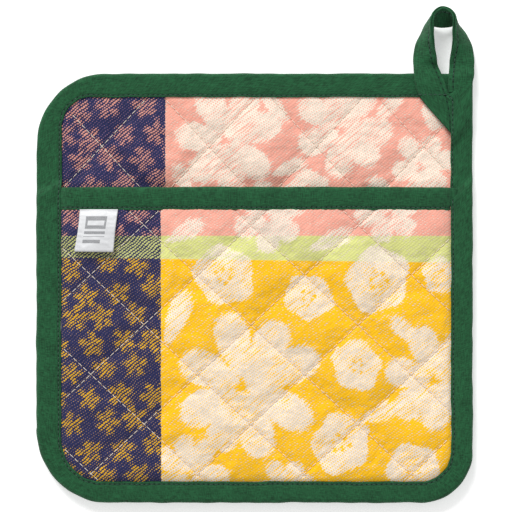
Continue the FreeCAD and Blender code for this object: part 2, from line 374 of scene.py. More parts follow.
def feed(tree, value, socket):
    """Links a reading to a socket, or sets the socket's own value. None leaves it alone."""
    if isinstance(value, Reading):
        tree.links.new(value.socket, socket)
    elif value is not None:
        socket.default_value = value


def fill(tree, node, **values):
    """Feeds a node's inputs by name, with _ for a space."""
    for label, value in values.items():
        feed(tree, value, node.inputs[label.replace("_", " ")])


def add(tree, kind, *inputs, out=0, **settings):
    """Adds a shader node, its inputs fed in order, and returns one of its outputs."""
    node = tree.nodes.new("ShaderNode" + kind)
    for key, value in settings.items():
        setattr(node, key, value)
    for socket, value in zip(node.inputs, inputs):
        feed(tree, value, socket)
    return Reading(tree, node.outputs[out])


def noise(place, scale, detail, rough, ways="2D"):
    """Soft noise, mostly 0.3 to 0.7, over the flat cloth or, with ways 3D, through the piece."""
    return add(place.tree, "TexNoise", place, None, scale, detail, rough, noise_dimensions=ways)


def two_ways(place):
    """The first two numbers of a place."""
    first = add(place.tree, "SeparateXYZ", place)
    return first, Reading(place.tree, first.socket.node.outputs[1])


def distance(first, second):
    """The root of the sum of two squares."""
    return (first.math("POWER", 2.0) + second.math("POWER", 2.0)).math("SQRT")


def blend_colours(tree, share, first, second, way="MIX"):
    """Mixes two colours: first at share 0, second at share 1."""
    node = tree.nodes.new("ShaderNodeMix")
    node.data_type, node.blend_type = "RGBA", way
    for k, value in ((0, share), (6, first), (7, second)):
        feed(tree, value, node.inputs[k])
    return Reading(tree, node.outputs[2])


def shaded(colour, shade):
    """A colour times a shade."""
    grey = add(shade.tree, "CombineColor", shade, shade, shade)
    return blend_colours(shade.tree, 1.0, colour, grey, "MULTIPLY")


def by_name(tree, sockets):
    """A node's outputs as readings by name."""
    return {socket.name: Reading(tree, socket) for socket in sockets}


def effect(name, inputs, outputs):
    """A shader node group with those sockets. Returns its tree, its inputs by name, and its end."""
    tree = bpy.data.node_groups.new(name, "ShaderNodeTree")
    kinds = {"value": "NodeSocketFloat", "colour": "NodeSocketColor", "vector": "NodeSocketVector"}
    for way, labels in (("INPUT", inputs), ("OUTPUT", outputs)):
        for label, kind in labels.items():
            tree.interface.new_socket(name=label, in_out=way, socket_type=kinds[kind])
    start = tree.nodes.new("NodeGroupInput")
    return tree, by_name(tree, start.outputs), tree.nodes.new("NodeGroupOutput")


def place_effect(tree, group, **values):
    """Places a node group in a material with its inputs, and returns its outputs by name."""
    node = tree.nodes.new("ShaderNodeGroup")
    node.node_tree = group
    fill(tree, node, **values)
    return by_name(tree, node.outputs)


def finish(name):
    """A new material, its tree and its shader."""
    material = bpy.data.materials.new(name)
    material.use_nodes = True
    return material, material.node_tree, material.node_tree.nodes["Principled BSDF"]


def relief(tree, shader, height, strength, depth):
    """Lets a height bend the light on the surface. Depth is in metres."""
    bump = tree.nodes.new("ShaderNodeBump")
    fill(tree, bump, Strength=strength, Distance=depth, Height=height)
    tree.links.new(bump.outputs["Normal"], shader.inputs["Normal"])


# The weave of figured cloth: threads float in lines that rise to the right, 1.29 mm apart, and each
# is tied down in small dots 1.05 mm apart on lines that cross them, where the other set shows.
floats, take, end = effect(
    "figured_weave",
    {"Place": "vector", "Weft up": "value", "Valley": "value", "Warp colour": "colour",
     "Weft colour": "colour"},
    {"Colour": "colour", "Height": "value"})
u, v = two_ways(take["Place"])
line = u * 0.504 - v * 0.592 + noise(take["Place"], 0.16, 2.0, 0.5).about(1.4)
tied = u * 0.452 + v * 0.840
ridge, tie, both = (count.wave("COSINE") for count in (line, tied, line + tied))
dot = add(floats, "CombineXYZ", line.math("FLOOR"), tied.math("FLOOR"), 0.0)
speck = add(floats, "TexWhiteNoise", dot, noise_dimensions="2D")
level = take["Weft up"] + ridge * 0.40 + tie * 0.26 + both * 0.16 + speck.about(0.24)
# Shade paints the float lines darker in their valleys, down to Valley, and a touch lighter on their crowns:
# painted shade and highlight. The tie dots' tone also varies at random.
shade = ridge.step(-1.0, 0.4, take["Valley"], 1.04) * speck.step(0.0, 1.0, 0.94, 1.05)
threads = blend_colours(floats, level.step(0.42, 0.58), take["Warp colour"], take["Weft colour"])
fill(floats, end, Colour=shaded(threads, shade), Height=ridge * 0.5 + tie * 0.3)

# Painted shade along a sewn seam: its crease darkened a little to either side, and a darker spot
# for the needle hole in each gap between two stitches. Across and Along are the two seam families'
# counts, Cell their spacing in mm.
QUILT_PITCH, SEAM_SHIFT = 3.1, 0.013
seam_shade, take, end = effect("seam_shade", {"Across": "value", "Along": "value", "Cell": "value"},
                               {"Crease": "value", "Hole": "value"})
seam = take["Across"].math("ROUND")
away = ((take["Across"] - seam) * take["Cell"]).math("ABSOLUTE")
count = (take["Along"] + 6.0 - seam * SEAM_SHIFT) * take["Cell"] / QUILT_PITCH
gap = (count.math("FRACT") - 0.5).math("ABSOLUTE") * QUILT_PITCH
fill(seam_shade, end, Crease=away.step(0.0, 1.1, 1.0, 0.0),
     Hole=distance(gap, away).step(0.1, 0.36, 1.0, 0.0))

NAVY, CREAM = paint(38, 42, 88), paint(239, 224, 206)
PINK, LIME, YELLOW = paint(236, 164, 145), paint(210, 212, 132), paint(248, 189, 10)
SLANT = (0, 0, 0.70)


def jacquard(name, band, stripes, quilting):
    """The figured cloth, with painted shade in the creases and needle holes of its quilting. Left of band
    its warp is navy and the figure is woven in weft; right of it the warp is cream and the figure is
    woven in warp. Stripes are the lime stripe's lower and upper edges, in mm."""
    material, tree, shader = finish(name)
    flat = add(tree, "UVMap", uv_map="flat_cloth")
    place = add(tree, "VectorMath", flat, (0.5, 0.5, 0), operation="SUBTRACT")
    place = add(tree, "VectorMath", place, (250, 250, 0), operation="MULTIPLY")
    x, y = two_ways(place)
    # The figure's edge is combed along the weave, and a few of its threads stray into it.
    comb = add(tree, "Mapping", place, None, SLANT, (5, 1.0, 1), vector_type="TEXTURE")
    shape = add(tree, "Attribute", attribute_name="figure", out=2) + noise(comb, 1.0, 2.0, 0.6).about(3.4)
    comb = add(tree, "Mapping", place, None, SLANT, (9, 1.2, 1), vector_type="TEXTURE")
    streak = noise(comb, 0.9, 2.0, 0.55)
    mixed = streak.step(0.36, 0.62, 0.0, 0.58) * noise(place, 0.06, 1.0, 0.5).step(0.36, 0.6)
    blossom_up = shape.step(-0.8, 0.8, 0.97, -0.03).math("MAXIMUM", mixed)
    # Which stripe of warp and of weft this is, and how much of the weft is on top in each.
    right = (x + noise(place, 1.3, 0.0, 0.5).about(0.7)).step(band - 0.15, band + 0.15)
    lime = (y + x * 0.013).step(stripes[0] - 0.3, stripes[0] + 0.3)
    pink = y.step(stripes[1] - 0.3, stripes[1] + 0.3)
    sprig_up = shape.step(-0.8, 0.8, -0.25, 0.53)
    sprig_up = add(tree, "Mix", lime - pink, None, sprig_up, 0.52, data_type="FLOAT")
    weft_up = add(tree, "Mix", right, None, sprig_up, blossom_up, data_type="FLOAT")
    weft = blend_colours(tree, pink, blend_colours(tree, lime, YELLOW, LIME), PINK)
    # On the navy side the weft is darkened to 0.74, painted shade for the shadow and gaps between its
    # threads, and Valley, the painted shade in the float lines' valleys, is deeper there too.
    woven = place_effect(tree, floats, Place=place, Weft_up=weft_up,
                         Valley=right.step(0.0, 1.0, 0.62, 0.90),
                         Warp_colour=blend_colours(tree, right, NAVY, CREAM),
                         Weft_colour=shaded(weft, right * 0.26 + 0.74))
    cloth = shaded(woven["Colour"], noise(place, 0.03, 3.0, 0.6).step(0.3, 0.7, 0.94, 1.03))
    # The quilting's painted shade, from the place counted along the two families of seams: a faint
    # brown darkening in each crease, and a darker brown one in each needle hole.
    a = (x - quilting.cross[0]) / (2 * quilting.cell * quilting.lean[0])
    b = (y - quilting.cross[1]) / (2 * quilting.cell * quilting.lean[1])
    rising, falling = a + b, b - a
    first = place_effect(tree, seam_shade, Across=rising, Along=falling, Cell=quilting.cell)
    second = place_effect(tree, seam_shade, Across=falling, Along=rising, Cell=quilting.cell)
    for shade_mark, weight, shade_colour in (("Crease", 0.08, paint(190, 120, 70)), ("Hole", 0.5, paint(150, 92, 60))):
        share = first[shade_mark].math("MAXIMUM", second[shade_mark]) * weight
        cloth = blend_colours(tree, share, cloth, shade_colour, "MULTIPLY")
    fill(tree, shader, Base_Color=cloth, Roughness=streak.step(0.2, 0.8, 0.72, 0.88), Sheen_Weight=0.15,
         Sheen_Roughness=0.5, Specular_IOR_Level=0.25)
    relief(tree, shader, woven["Height"], 0.4, 0.00014)
    return material


BACK_BAND = -41.5
back_cloth_finish = jacquard("jacquard_back", BACK_BAND, (13, 24.2), back_quilting)
back_flowers = {
    "blossoms": [(86, 82, 8, 2.0), (26, 46, 9, 0.7), (-22, 22, 11, 1.2), (30, 8, 11, 0.2),
                 (60, -30, 12, 0.9), (-10, -72, 12, 0.4), (80, 20, 10, 1.5)],
    "daisies": [(-13, 69, 25, 7, 0.3), (41, 74, 23, 7, 0.9), (78, 57, 15, 6, 0.2),
                (-2, -28, 28, 8, 0.5), (66, -74, 24, 7, 0.1), (4, 34, 16, 6, 0.6)],
    "leaves": [(62, 84, 0.9, 9, 3.4), (10, 84, 2.3, 8, 3.2), (16, 56, 0.4, 8, 3), (-33, 50, 2.0, 8, 3.4),
               (60, 46, 2.5, 8, 3.2), (35, -52, 0.6, 12, 4)]}
across, upward = rounded_patch(grown(6.5), (26, 20, 4, 21), 0.95)
back_shape = figured(across, upward, BACK_BAND, **back_flowers)
for side, node_name in ((1, "back_inner_cloth"), (-1, "back_outer_cloth")):
    cloth = cloth_piece(node_name + "_quilted", across, upward, back_height(across, upward, side),
                        side, back_shape)
    thicken(cloth, CLOTH)
    cloth.data.materials.append(back_cloth_finish)
    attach(cloth, "pad")
    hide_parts(node_name)

# The batting: one sheet of needled cotton, white and fibrous, that fills what the two cloths leave.
fluff, tree, shader = finish("cotton_wadding")
fibres = noise(add(tree, "TexCoord", out=3), 900.0, 4.0, 0.7, "3D")
fill(tree, shader, Roughness=0.95,
     Base_Color=blend_colours(tree, fibres, paint(222, 218, 208), paint(246, 244, 238)))
relief(tree, shader, fibres, 0.6, 0.0004)


def wadding(name, x, y, top, bottom):
    """A closed pad between two surfaces over one grid: the upper grid, the lower grid turned over, and
    a wall joining their rims."""
    index = np.arange(x.size).reshape(x.shape)
    rim = np.concatenate([index[0, :-1], index[:-1, -1], index[-1, :0:-1], index[:0:-1, 0]])
    wall = np.stack([rim, rim + x.size, np.roll(rim, -1) + x.size, np.roll(rim, -1)], -1)
    faces = np.concatenate([quads(x), quads(x)[:, ::-1] + x.size, wall])
    mesh = smooth_mesh(name, np.stack([np.stack([x, y, z], -1) for z in (top, bottom)]), faces.tolist())
    mesh.materials.append(fluff)
    return put(name, mesh)


across, upward = rounded_patch(grown(8), (27, 21, 4, 26), 2.2)
top, bottom = back_height(across, upward, 1) - 0.65, back_height(across, upward, -1) + 0.65
back_wad = wadding("back_batting_wad", across, upward, np.maximum(top, BACK_MIDDLE + 0.1),
                   np.minimum(bottom, BACK_MIDDLE - 0.1))
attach(back_wad, "pad")
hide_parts("back_batting")


# ---- The quilting thread ----
# Pale cotton thread in running stitches 2.4 mm long and 3.1 mm apart. Each stitch dips into a
# needle hole at both ends and pulls the cloth down into the seam.


def skin(name, rings, along, around, material, closed=False):
    """Skins closed profiles set one after another. Rings is items by stations by points by 3, in mm.
    Each item's ends are capped, or joined to each other if closed. Along and around are the UV map's
    two distances in mm at each station and point, one more of either than there are."""
    items, stations, points = rings.shape[:3]
    index = np.arange(items * stations * points).reshape(items, stations, points)
    count = stations if closed else stations - 1
    a = index[:, :count]
    b = np.roll(index, -1, axis=1)[:, :count]
    walls = np.stack([a, b, np.roll(b, -1, axis=2), np.roll(a, -1, axis=2)], -1).reshape(-1, 4)
    i, j = np.meshgrid(np.arange(count), np.arange(points), indexing="ij")
    spread = [np.stack([along[i + p], around[j + q]], -1) for p, q in ((0, 0), (1, 0), (1, 1), (0, 1))]
    flat = np.tile(np.stack(spread, 2).reshape(1, -1, 4, 2), (items, 1, 1, 1)).reshape(-1, 2)
    faces = walls.tolist()
    if not closed:
        ends = np.concatenate([index[:, 0, ::-1], index[:, -1]])
        faces += ends.tolist()
        flat = np.concatenate([flat, np.zeros((ends.size, 2))])
    mesh = smooth_mesh(name, rings, faces)
    mesh.uv_layers.new(name="lie_of_tape").data.foreach_set("uv", (flat / 1000).ravel())
    shell = bmesh.new()
    shell.from_mesh(mesh)
    bmesh.ops.recalc_face_normals(shell, faces=shell.faces)
    shell.to_mesh(mesh)
    shell.free()
    mesh.materials.append(material)
    return put(name, mesh)


def unit(ways):
    """Directions scaled to length 1."""
    return ways / np.linalg.norm(ways, axis=1)[:, None]


def stitches(name, start, end, up, radius, arch, sink, material):
    """Running stitches, one capsule each: from start to end in a straight line, raised along up by
    arch times a half sine less sink, with a round section that narrows at both ends."""
    share = np.array([0, 0.07, 0.25, 0.5, 0.75, 0.93, 1.0])
    swell = np.array([0.35, 0.75, 1, 1, 1, 0.75, 0.35]) * radius
    turn = np.arange(6) * math.tau / 6
    middle = start[:, None] + (end - start)[:, None] * share[:, None]
    middle = middle + up[:, None] * (arch * np.sin(np.pi * share) - sink)[:, None]
    run = unit(end - start)
    beside = unit(np.cross(run, up))
    over = np.cross(beside, run)
    circle = (beside[:, None, None] * np.cos(turn)[:, None] + over[:, None, None] * np.sin(turn)[:, None])
    rings = middle[:, :, None] + circle * swell[None, :, None, None]
    length = float(np.linalg.norm(end - start, axis=1).mean())
    return skin(name, rings, share * length, np.arange(7) * radius, material)


def thread(name, colour, dark, rough):
    """Spun thread: its two strands wind round each other in a slanting ridge, and the valley between them is
    painted darker as shade.
    """
    material, tree, shader = finish(name)
    u, v = two_ways(add(tree, "UVMap", uv_map="lie_of_tape"))
    strand = (u * 7000.0 + v * 9000.0).math("SINE")
    fuzz = noise(add(tree, "TexCoord", out=3), 1500.0, 2.0, 0.6, "3D")
    fill(tree, shader, Base_Color=blend_colours(tree, (strand + fuzz).step(-0.6, 1.4), dark, colour),
         Roughness=fuzz.step(0.3, 0.7, rough - 0.08, rough + 0.08), Sheen_Weight=0.2)
    relief(tree, shader, strand, 0.5, 0.00008)
    return material


pale_thread = thread("pale_quilting_thread", paint(248, 238, 224), paint(232, 216, 196), 0.65)


def upright(side, count):
    """That many directions straight up for side 1, or straight down for side -1."""
    return np.tile([0.0, 0.0, float(side)], (count, 1))


def seam_runs(quilting, margin, height, side, length=2.4):
    """Every stitch of a panel's seams: each family's lines at whole seam spacings, cut into stitches,
    kept where they lie margin inside the panel's box, and laid on the cloth's own height."""
    starts, ends = [], []
    share = length / quilting.cell / 2
    steps = np.arange(-6 * quilting.cell, 6 * quilting.cell, QUILT_PITCH) / quilting.cell
    for seam in range(-7, 8):
        for family in (0, 1):
            run = steps + SEAM_SHIFT * seam
            for shift, store in ((-share, starts), (share, ends)):
                places = (run + shift, np.full(run.shape, float(seam)))
                store.append(np.stack(quilting.point(*(places if family else places[::-1])), -1))
    tips = [np.concatenate(store) for store in (starts, ends)]
    kept = np.all([depth_inside(*tip.T, quilting.box, quilting.corners) > margin for tip in tips], axis=0)
    start, end = (np.column_stack([tip[kept], height(*tip[kept].T)]) for tip in tips)
    return start, end, upright(side, len(start))


def both_faces(row):
    """The stitches of a row on the upper and on the lower face."""
    return [np.concatenate(parts) for parts in zip(row(1), row(-1))]


def back_seams(side):
    """The back panel's seams on one face."""
    return seam_runs(back_quilting, 0.6, lambda x, y: back_height(x, y, side), side)


back_thread = stitches("back_quilting_stitches", *both_faces(back_seams), 0.14, 0.2, -0.2, pale_thread)
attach(back_thread, "pad")
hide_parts("back_quilting_thread")


# ---- The pocket ----
# A second quilted panel, two cloths with batting, sewn to the pad along its foot and both sides. It
# bows up off the pad towards its mouth, so a hand can slip in.

POCKET_CORNERS = (19.5, 14, 1, 1)
PAD_MIDDLE = 0.75
POCKET = (WINDOW[0], WINDOW[1], WINDOW[2], MOUTH - 9.2)
pocket_quilting = Quilting((23.1, 6.2), 49.5, 43, POCKET, POCKET_CORNERS, seed=9)


def pocket_middle(x, y):
    """The height of the panel's middle, in mm: half its thickness over the pad's cloth, rising a little
    to the mouth, plus a bow of 7 mm at the mouth's middle that falls to nothing at the sides."""
    share = np.clip((y - FOOT) / (MOUTH - FOOT), 0, 1.1)
    out = np.clip(np.abs(x - PAD_MIDDLE) / 90.55, 0, 1)
    return 7.0 + 0.3 * share + 7 * share * (1 - out ** 2)


def pocket_roll(x, y):
    """How far the panel has risen from under the tape, over 5 mm in from the foot and the sides."""
    return quarter(depth_inside(x, y, (WINDOW[0], WINDOW[1], WINDOW[2], 500), POCKET_CORNERS), 5)


def pocket_face(x, y):
    """The pocket's outer cloth: 0.8 mm over the middle on a seam, and 2.1 mm more where it swells."""
    height = pocket_middle(x, y) + 0.8 + 2.1 * pocket_quilting.at(x, y)
    return 6.1 + (height - 6.1) * pocket_roll(x, y)


def pocket_lining(x, y):
    """The pocket's inner cloth: 0.9 mm under the middle, and 0.8 mm more where it swells."""
    height = pocket_middle(x, y) - 0.9 - 0.8 * pocket_quilting.at(x, y)
    return 5.1 + (height - 5.1) * pocket_roll(x, y)


def follow_pocket(piece):
    """Bends a piece between the pad and the pocket: it turns with the pocket from 45 mm up, and that
    turn is times 1 less the tenth power of the way out to the side seams, where it stays sewn."""
    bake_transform(piece, "pad", "pocket", start=(0, FOOT / 1000, 0.007), end=(0, FOOT / 1000 + 0.045, 0.007))
    turn = piece.data.attributes["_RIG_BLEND"].data
    values = np.zeros(len(turn), np.float32)
    points = np.zeros(len(turn) * 3, np.float32)
    turn.foreach_get("value", values)
    piece.data.vertices.foreach_get("co", points)
    out = np.clip(np.abs(points[::3] * 1000 - PAD_MIDDLE) / 89.5, 0, 1)
    turn.foreach_set("value", (values * (1 - out ** 10)).astype(np.float32))


POCKET_BAND = -43.2
pocket_cloth_finish = jacquard("jacquard_pocket", POCKET_BAND, (13, 24.2), pocket_quilting)
pocket_flowers = {
    "blossoms": [(24.9, -4.1, 10.5, 0.3), (47.2, -35.7, 11.2, 1.1), (57, 4, 14.5, 2.0), (-14, 6, 13.5, 0.7),
                 (40, -72, 13.5, 1.9), (74, -84, 12, 0.5), (86, 6, 8, 1.0)],
    "daisies": [(-4.4, -45, 34, 8, 0.35), (84, -42, 25, 7, 0.2), (-30, -86, 18, 7, 0.9),
                (6, 33, 17, 6, 0.4), (62, 35, 15, 6, 1.3), (14, -92, 13, 6, 0.1)],
    "leaves": [(-36, -14, 1.2, 13, 4.5), (70, -20, 2.4, 9, 3.5), (35, 22, 0.4, 10, 3.6),
               (-32, 26, 0.5, 9, 3.6), (58, -58, 0.4, 9, 3.4)]}
across, upward = rounded_patch(grown(4.5, MOUTH - 3), (24, 18.5, 1, 1), 0.86)
pocket_shape = figured(across, upward, POCKET_BAND, **pocket_flowers)
for side, node_name, height in ((1, "pocket_face_cloth", pocket_face),
                                (-1, "pocket_lining_cloth", pocket_lining)):
    cloth = cloth_piece(node_name + "_quilted", across, upward, height(across, upward), side, pocket_shape)
    thicken(cloth, CLOTH)
    cloth.data.materials.append(pocket_cloth_finish)
    follow_pocket(cloth)
    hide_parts(node_name)

across, upward = rounded_patch(grown(6, MOUTH - 3.5), (25, 19, 1, 1), 2.2)
top, bottom = pocket_face(across, upward) - 0.6, pocket_lining(across, upward) + 0.6
middle = (top + bottom) / 2
pocket_wad = wadding("pocket_batting_wad", across, upward, np.maximum(top, middle + 0.05),
                     np.minimum(bottom, middle - 0.05))
follow_pocket(pocket_wad)
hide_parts("pocket_batting", "pocket_seam_allowance")


def pocket_seams(side):
    """The pocket panel's seams on one face."""
    return seam_runs(pocket_quilting, 0.4, pocket_face if side > 0 else pocket_lining, side)


pocket_thread = stitches("pocket_quilting_stitches", *both_faces(pocket_seams), 0.14, 0.2, -0.2,
                         pale_thread)
follow_pocket(pocket_thread)
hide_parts("pocket_quilting_thread")


# ---- The green tape round the pocket's mouth ----
# Cotton tape folded over the panel's raw top edge and topstitched 1.3 mm inside its lower edge. Its
# ends are caught under the tape at the pad's sides.

weave, take, end = effect("plain_weave", {"Place": "vector", "Colour": "colour"},
                          {"Colour": "colour", "Height": "value"})
u, v = two_ways(take["Place"])
grid = u.wave("SINE", 0.42) * v.wave("SINE", 0.5)
ribs, picks = (noise(add(weave, "Mapping", take["Place"], None, None, stretch), 1.0, 3.0, 0.6)
               for stretch in ((2.2, 0.35, 1), (0.3, 2.0, 1)))
uneven = ribs + picks + noise(take["Place"], 0.12, 2.0, 0.5) * 0.3
# The yarn crossings are painted a little lighter and the hollows between them darker, painted light and
# shade, over an uneven yarn tone that varies at random.
shade = uneven.step(0.72, 1.58, 0.5, 1.5) * grid.step(-1.0, 1.0, 0.84, 1.12)
fill(weave, end, Colour=shaded(take["Colour"], shade), Height=grid * 0.5 + uneven)

TAPE_PITCH, ROW_IN = 2.3, 1.3


def cotton_tape(name, colour, rows):
    """Dyed cotton tape in plain weave, matt, with a faint nap. Rows are where its two stitch rows lie
    round the section, in mm: along each, the needle hole at every stitch is painted dark as shade, and
    the row's groove more faintly."""
    material, tree, shader = finish(name)
    place = add(tree, "VectorMath", add(tree, "UVMap", uv_map="lie_of_tape"), (1000, 1000, 0),
                operation="MULTIPLY")
    woven = place_effect(tree, weave, Place=place, Colour=colour)
    u, v = two_ways(place)
    upper, lower = ((v - row).math("ABSOLUTE") for row in rows)
    nearest = upper.math("MINIMUM", lower)
    reach = distance((u / TAPE_PITCH).math("FRACT").about(TAPE_PITCH), nearest)
    # Painted shade: a dark spot at each needle hole, and a fainter dark line along each stitch row's groove.
    shade_mark = reach.step(0.25, 0.62, 0.9, 0.0).math("MAXIMUM", nearest.step(0.0, 0.75, 0.4, 0.0))
    fill(tree, shader, Base_Color=blend_colours(tree, shade_mark, woven["Colour"], paint(8, 26, 20)),
         Roughness=noise(place, 0.8, 3.0, 0.6).step(0.3, 0.7, 0.78, 0.92), Sheen_Weight=0.05,
         Sheen_Roughness=0.6, Specular_IOR_Level=0.2)
    relief(tree, shader, woven["Height"], 0.4, 0.00012)
    return material


GREEN = paint(27, 79, 47)
green_thread = thread("green_topstitching", paint(30, 84, 62), paint(12, 40, 30), 0.6)


def waver(place, seed, size):
    """A gentle unevenness along a seam: five sine waves 11 to 70 mm long with their own phases."""
    phase = np.random.default_rng(seed).uniform(0, math.tau, 5)
    waves = [np.sin(place * math.tau / long + p) for long, p in zip((11, 17, 26, 43, 70), phase)]
    return size * sum(waves) / 3


def folded_profile(wide, thick, shut, fold=2.2, inner=0.55):
    """Half a tape's section from its lower edge out to its fold and back underneath: pairs of the
    distance from the edge and the height over the middle. It dips at the stitch row, and the fold is
    a half ellipse. Thick and shut are half the thickness at the fold and at the edge, and inner is
    the tape's own thickness."""
    flat = np.array([0, 0.12, 0.45, 0.9, 1.3, 1.7, 2.4, 3.6, 5.2])
    rise = np.array([-0.55, -0.12, 0.02, -0.05, -0.22, -0.06, 0.05, 0.1, 0.1])
    reach = wide - fold
    flat = np.where(flat > 2, 2 + (flat - 2) * (reach - 2) / 4.2, flat)
    lean = shut + (thick - shut) * smooth(flat / reach)
    turn = np.linspace(math.pi / 2, -math.pi / 2, 11)[1:-1]
    curve = np.stack([reach + fold * np.cos(turn) ** 0.8, (thick + 0.05) * np.sin(turn)], -1)
    over = np.stack([flat, lean + rise], -1)
    under = (over * (1, -1))[::-1]
    outside = np.concatenate([over, curve, under])
    inside = outside[::-1].copy()
    inside[:, 0] = np.maximum(inside[:, 0] - inner * np.clip(inside[:, 0] - reach + 1, 0, 1), 0.1)
    inside[:, 1] = np.sign(inside[:, 1]) * np.maximum(np.abs(inside[:, 1]) - inner, 0.02)
    return np.concatenate([outside, inside[1:-1]])


def gone_round(points):
    """The distance gone round a closed outline at each point, and back at the first."""
    steps = np.diff(np.vstack([points, points[:1]]), axis=0)
    return np.concatenate([[0], np.cumsum(np.hypot(*steps.T))])


def pressed(rise):
    """How much of its thickness the tape keeps: 0.42 under the pad's edging, all of it once risen."""
    return 0.42 + 0.58 * rise


MOUTH_TAPE, TAPE_MIDDLE = 10.7, 5.65
x = np.arange(WINDOW[0] - 3.4, WINDOW[2] + 3.41, 0.9)
shape = folded_profile(MOUTH_TAPE, 1.75, 1.5)
rise = pocket_roll(x, np.zeros(x.shape))[:, None]
out = shape[None, :, 0] / MOUTH_TAPE
y = MOUTH - MOUTH_TAPE + shape[None, :, 0] + waver(x, 21, 0.22)[:, None] * (1 - out)
y = y + waver(x, 22, 0.12)[:, None] * out
z = TAPE_MIDDLE + (pocket_middle(x[:, None], y) - TAPE_MIDDLE) * rise
z = z + shape[None, :, 1] * pressed(rise)
rings = np.stack([np.broadcast_to(x[:, None], y.shape), y, z], -1)[None]
around = gone_round(shape)
mouth_place = np.append(x, x[-1] + 1) - WINDOW[0] - 2.2
mouth_green = cotton_tape("green_mouth_tape", GREEN, (around[4], around[22]))
mouth_tape = skin("pocket_mouth_tape", rings, mouth_place, around, mouth_green)
follow_pocket(mouth_tape)
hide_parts("pocket_binding")


def mouth_row(side):
    """The topstitches of the mouth's tape, just in from its lower edge, on one side of the panel."""
    middle = np.arange(WINDOW[0] + 2.2, WINDOW[2] - 2.4, TAPE_PITCH)
    ends = []
    for x in (middle - 0.82, middle + 0.82):
        y = MOUTH - MOUTH_TAPE + ROW_IN + waver(x, 21, 0.22) * 0.88
        rise = pocket_roll(x, np.zeros(x.shape))
        z = TAPE_MIDDLE + (pocket_middle(x, y) - TAPE_MIDDLE) * rise + side * 1.32 * pressed(rise)
        ends.append(np.stack([x, y, z], -1))
    return *ends, upright(side, len(middle))


mouth_stitches = stitches("pocket_mouth_stitches", *both_faces(mouth_row), 0.19, 0.22, 0.06, green_thread)
follow_pocket(mouth_stitches)
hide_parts("pocket_binding_stitching")


# ---- The label ----
# White satin ribbon folded in half, its two cut ends caught under the mouth's tape. It hangs free
# over the pocket, so it flips up about that seam. Its print is a plain grey frame and three bars.

LABEL = (-80.9, -63.1)
LABEL_TOP, LABEL_LONG = MOUTH - 10.35, 19.4

# Here s runs down one leaf to the fold at 1 and up the other to 2, and t across the ribbon. Fall is
# how far down the label a point lies, and freed how far it has come out of the seam.
s, t = np.meshgrid(np.linspace(0, 2, 121), np.linspace(0, 1, 31), indexing="ij")
fall = 1 - np.abs(1 - s)
fall = np.where(fall > 0.97, 0.97 + 0.03 * np.sin(np.pi / 2 * (fall - 0.97) / 0.03), fall)
x = LABEL[0] + (LABEL[1] - LABEL[0]) * t - 2.2 * fall ** 1.3 + 0.25 * np.sin(3 * t + 4 * fall)
y = LABEL_TOP - LABEL_LONG * fall * (1 + 0.012 * t)
lifted = 1.3 * fall ** 3 * (0.5 + 0.5 * t) + 0.35 * np.sin(np.pi * t) * fall
freed = smooth((fall - 0.02) / 0.14)
ground = sum(pocket_face(x + p, y + q) for p in (-2, 0, 2) for q in (-2, 0, 2)) / 9
ground = pocket_face(x, y) + np.maximum(ground - pocket_face(x, y), 0) * freed
apart = np.sin(np.pi / 2 * np.clip((1 - fall) / 0.05, 0, 1)) * np.sign(s - 1)
z = ground + 0.06 + 0.44 * freed + lifted + (0.1 + 0.24 * freed) * (1 + apart)
label = cloth_piece("folded_label", x, y, z, 1)
label_flat = np.stack([t * 17.8 / 250, s * LABEL_LONG / 250], -1).reshape(-1, 2)
corner = np.zeros(len(label.data.loops), np.int32)
label.data.loops.foreach_get("vertex_index", corner)
label.data.uv_layers[0].data.foreach_set("uv", label_flat[corner].ravel())
label.data.flip_normals()
thicken(label, 0.16)
satin, tree, shader = finish("label_satin_white")
place = add(tree, "VectorMath", add(tree, "UVMap", uv_map="flat_cloth"), (250, 250, 0),
            operation="MULTIPLY")
u, v = two_ways(place)


def printed_box(left, right, low, high, soft=0.12):
    """1 inside an upright box on the ribbon, in mm, with softly inked edges: the product of one step
    down across it and one along it."""
    inside = []
    for way, first, last in ((u, left, right), (v, low, high)):
        half = (last - first) / 2
        away = (way - (first + last) / 2).math("ABSOLUTE")
        inside.append(away.step(half - soft, half + soft, 1.0, 0.0))
    return inside[0] * inside[1]


top = 2 * LABEL_LONG
printed = printed_box(3.2, 13.2, top - 9.0, top - 3.2) - printed_box(4.2, 12.2, top - 7.4, top - 5.2)
for bar in ((3.2, 13.2, top - 11.4, top - 10.1), (3.2, 13.2, top - 12.7, top - 12.4, 0.08),
            (3.2, 11.4, top - 15.6, top - 14.0)):
    printed = printed.math("MAXIMUM", printed_box(*bar))
fade = noise(place, 3.0, 2.0, 0.6)
tone = blend_colours(tree, fade, paint(205, 206, 208), paint(216, 217, 219))
ink = blend_colours(tree, printed * fade.step(0.2, 0.6, 0.55, 0.95), tone, paint(128, 129, 132))
fill(tree, shader, Base_Color=ink, Roughness=fade.step(0.3, 0.7, 0.38, 0.5), Sheen_Weight=0.2)
relief(tree, shader, v.wave("SINE", 0.22) + u.wave("SINE", 0.3), 0.25, 0.00005)
label.data.materials.append(satin)
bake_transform(label, "pocket", "label", start=(-0.072, (LABEL_TOP - 0.8) / 1000, 0.012),
         end=(-0.072, (LABEL_TOP - 4.5) / 1000, 0.012))
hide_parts("label_back_leaf", "label_front_leaf")


# ---- The green tape round the pad ----
# One strip of the same cotton tape folded over the pad's edge all the way round, topstitched 1.3 mm
# inside its inner edge, with small pleats at the corners. Below the mouth it also grips the pocket.


